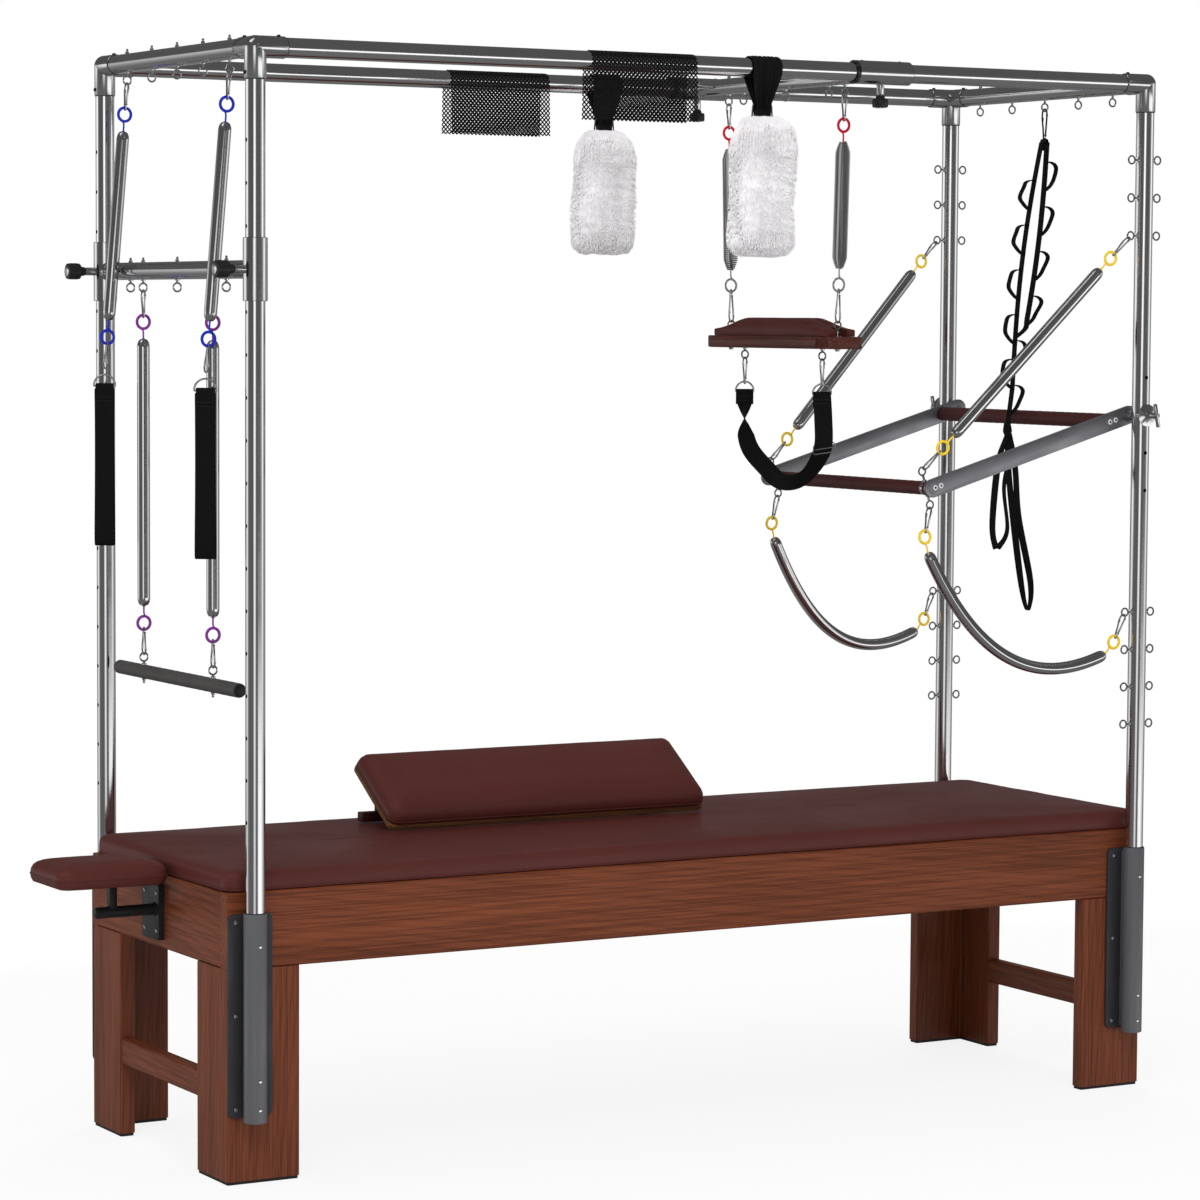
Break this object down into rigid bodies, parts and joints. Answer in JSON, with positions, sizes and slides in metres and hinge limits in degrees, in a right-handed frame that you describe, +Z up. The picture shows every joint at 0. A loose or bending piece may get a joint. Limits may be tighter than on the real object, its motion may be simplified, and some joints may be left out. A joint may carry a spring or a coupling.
{
  "type": "pilates trapeze table",
  "caption": "Raised padded table under a steel tube frame with sliding crossbars, a swinging push bar, springs, a trapeze board, straps, slings and a headrest.",
  "frame": {"origin": "on the floor, at the middle of the outer size in X and Y (the headrest counts, so the table's own middle is at X = 0.12)", "axes": "+X along the table to the push-bar end, +Y to the far long side, +Z up"},
  "size_m": [2.398, 0.8396, 2.177],
  "materials": {
    "steel": "brushed stainless tube",
    "chrome": "bright plated spring wire",
    "socket_grey": "dark grey anodised",
    "arm_grey": "satin grey anodised",
    "walnut": "oiled dark wood, satin",
    "leather": "dark red-brown upholstery, fine grain",
    "roll_brown": "dark brown foam-rubber grip, satin",
    "black": "satin black",
    "webbing": "black woven webbing",
    "mesh_cloth": "black perforated padding cloth",
    "fleece": "off-white pile",
    "board_edge": "golden plywood",
    "grip": "dark grey foam-rubber grip"
  },
  "bodies": {
    "table_and_frame": {"leg_left_near": "walnut", "leg_left_far": "walnut", "leg_right_near": "walnut", "leg_right_far": "walnut", "rail_long_near": "walnut", "rail_long_far": "walnut", "rail_end_left": "walnut", "rail_end_right": "walnut", "stretcher_left": "walnut", "stretcher_right": "walnut", "mattress": "leather", "socket_left_near": "socket_grey", "socket_left_far": "socket_grey", "socket_right_near": "socket_grey", "socket_right_far": "socket_grey", "post_left_near": "steel", "post_left_far": "steel", "post_right_near": "steel", "post_right_far": "steel", "end_frame_left": "steel", "end_frame_right": "steel", "tube_long_near": "steel", "tube_long_far": "steel", "mesh_cover_near": "mesh_cloth", "mesh_cover_far": "mesh_cloth", "spring_yellow_high_near": "chrome", "spring_yellow_high_far": "chrome", "spring_yellow_low_near": "chrome", "spring_yellow_low_far": "chrome", "headrest_pad": "leather", "headrest_bracket": "black", "cushion_board": "board_edge", "cushion_pad": "leather"},
    "push_bar": {"push_arm_near": "arm_grey", "push_arm_far": "arm_grey", "push_roll_front": "roll_brown", "push_roll_rear": "roll_brown"},
    "tee_near": {"tee_handle_near": "black"},
    "tee_far": {"tee_handle_far": "black"},
    "lower_bar": {"lower_crossbar": "steel"},
    "low_knob_near": {"plunger_low_near": "black"},
    "low_knob_far": {"plunger_low_far": "black"},
    "roll_down": {"spring_purple_near": "chrome", "spring_purple_far": "chrome", "rolldown_bar": "grip"},
    "arm_spring_near": {"spring_blue_near": "chrome", "hand_loop_near": "webbing"},
    "arm_spring_far": {"spring_blue_far": "chrome", "hand_loop_far": "webbing"},
    "top_bar": {"top_crossbar": "steel"},
    "top_knob_near": {"plunger_top_near": "black"},
    "top_knob_far": {"plunger_top_far": "black"},
    "trapeze": {"spring_red_near": "chrome", "spring_red_far": "chrome", "trapeze_board": "walnut"},
    "trapeze_loop": {"trapeze_strap": "webbing"},
    "sling_near": {"fleece_sling_near": "fleece"},
    "sling_far": {"fleece_sling_far": "fleece"},
    "ladder": {"ladder_strap": "webbing"},
    "prop": {"cushion_prop": "walnut"}
  },
  "joints": [
    {"name": "push_bar_swing", "type": "hinge", "parent": "table_and_frame", "child": "push_bar", "pos_m": [1.155, 0, 1.45], "axis": [0, 1, 0], "range_deg": [-70, 90], "stiffness_Nm_per_rad": 8, "springref_deg": 42.97, "deforming": ["spring_yellow_high_near", "spring_yellow_high_far", "spring_yellow_low_near", "spring_yellow_low_far"]},
    {"name": "tee_turn_near", "type": "hinge", "parent": "table_and_frame", "child": "tee_near", "pos_m": [1.155, -0.36, 1.45], "axis": [0, 1, 0], "range_deg": [-180, 180]},
    {"name": "tee_turn_far", "type": "hinge", "parent": "table_and_frame", "child": "tee_far", "pos_m": [1.155, 0.36, 1.45], "axis": [0, 1, 0], "range_deg": [-180, 180]},
    {"name": "lower_bar_slide", "type": "slide", "parent": "table_and_frame", "child": "lower_bar", "axis": [0, 0, 1], "range_m": [-0.3, 0]},
    {"name": "low_pin_near", "type": "slide", "parent": "lower_bar", "child": "low_knob_near", "axis": [-1, 0, 0], "range_m": [0, 0.008], "stiffness_N_per_m": 400, "springref_m": -0.006},
    {"name": "low_pin_far", "type": "slide", "parent": "lower_bar", "child": "low_knob_far", "axis": [-1, 0, 0], "range_m": [0, 0.008], "stiffness_N_per_m": 400, "springref_m": -0.006},
    {"name": "roll_down_swing", "type": "hinge", "parent": "lower_bar", "child": "roll_down", "pos_m": [-0.915, 0, 1.7045], "axis": [0, 1, 0], "range_deg": [-20, 20]},
    {"name": "arm_spring_swing_near", "type": "hinge", "parent": "table_and_frame", "child": "arm_spring_near", "pos_m": [-0.915, -0.245, 2.116], "axis": [0, 1, 0], "range_deg": [0, 20]},
    {"name": "arm_spring_swing_far", "type": "hinge", "parent": "table_and_frame", "child": "arm_spring_far", "pos_m": [-0.915, 0.245, 2.116], "axis": [0, 1, 0], "range_deg": [0, 20]},
    {"name": "top_bar_slide", "type": "slide", "parent": "table_and_frame", "child": "top_bar", "axis": [1, 0, 0], "range_m": [-0.11, 0.11]},
    {"name": "top_pin_near", "type": "slide", "parent": "top_bar", "child": "top_knob_near", "axis": [0, 0, -1], "range_m": [0, 0.008], "stiffness_N_per_m": 400, "springref_m": -0.006},
    {"name": "top_pin_far", "type": "slide", "parent": "top_bar", "child": "top_knob_far", "axis": [0, 0, -1], "range_m": [0, 0.008], "stiffness_N_per_m": 400, "springref_m": -0.006},
    {"name": "trapeze_swing", "type": "hinge", "parent": "top_bar", "child": "trapeze", "pos_m": [0.481, 0, 2.1175], "axis": [0, 1, 0], "range_deg": [-8, 15]},
    {"name": "trapeze_loop_swing", "type": "hinge", "parent": "trapeze", "child": "trapeze_loop", "pos_m": [0.481, 0, 1.573], "axis": [0, 1, 0], "range_deg": [-25, 25]},
    {"name": "sling_swing_near", "type": "hinge", "parent": "table_and_frame", "child": "sling_near", "pos_m": [0.198, -0.36, 2.15], "axis": [1, 0, 0], "range_deg": [-10, 10]},
    {"name": "sling_swing_far", "type": "hinge", "parent": "table_and_frame", "child": "sling_far", "pos_m": [0.246, 0.36, 2.15], "axis": [1, 0, 0], "range_deg": [-10, 10]},
    {"name": "ladder_swing", "type": "hinge", "parent": "table_and_frame", "child": "ladder", "pos_m": [1.155, 0, 2.116], "axis": [0, 1, 0], "range_deg": [0, 8]},
    {"name": "prop_fold", "type": "hinge", "parent": "table_and_frame", "child": "prop", "pos_m": [-0.0525, 0.2052, 0.6971], "axis": [1, 0, 0], "range_deg": [-45, 0]}
  ]
}
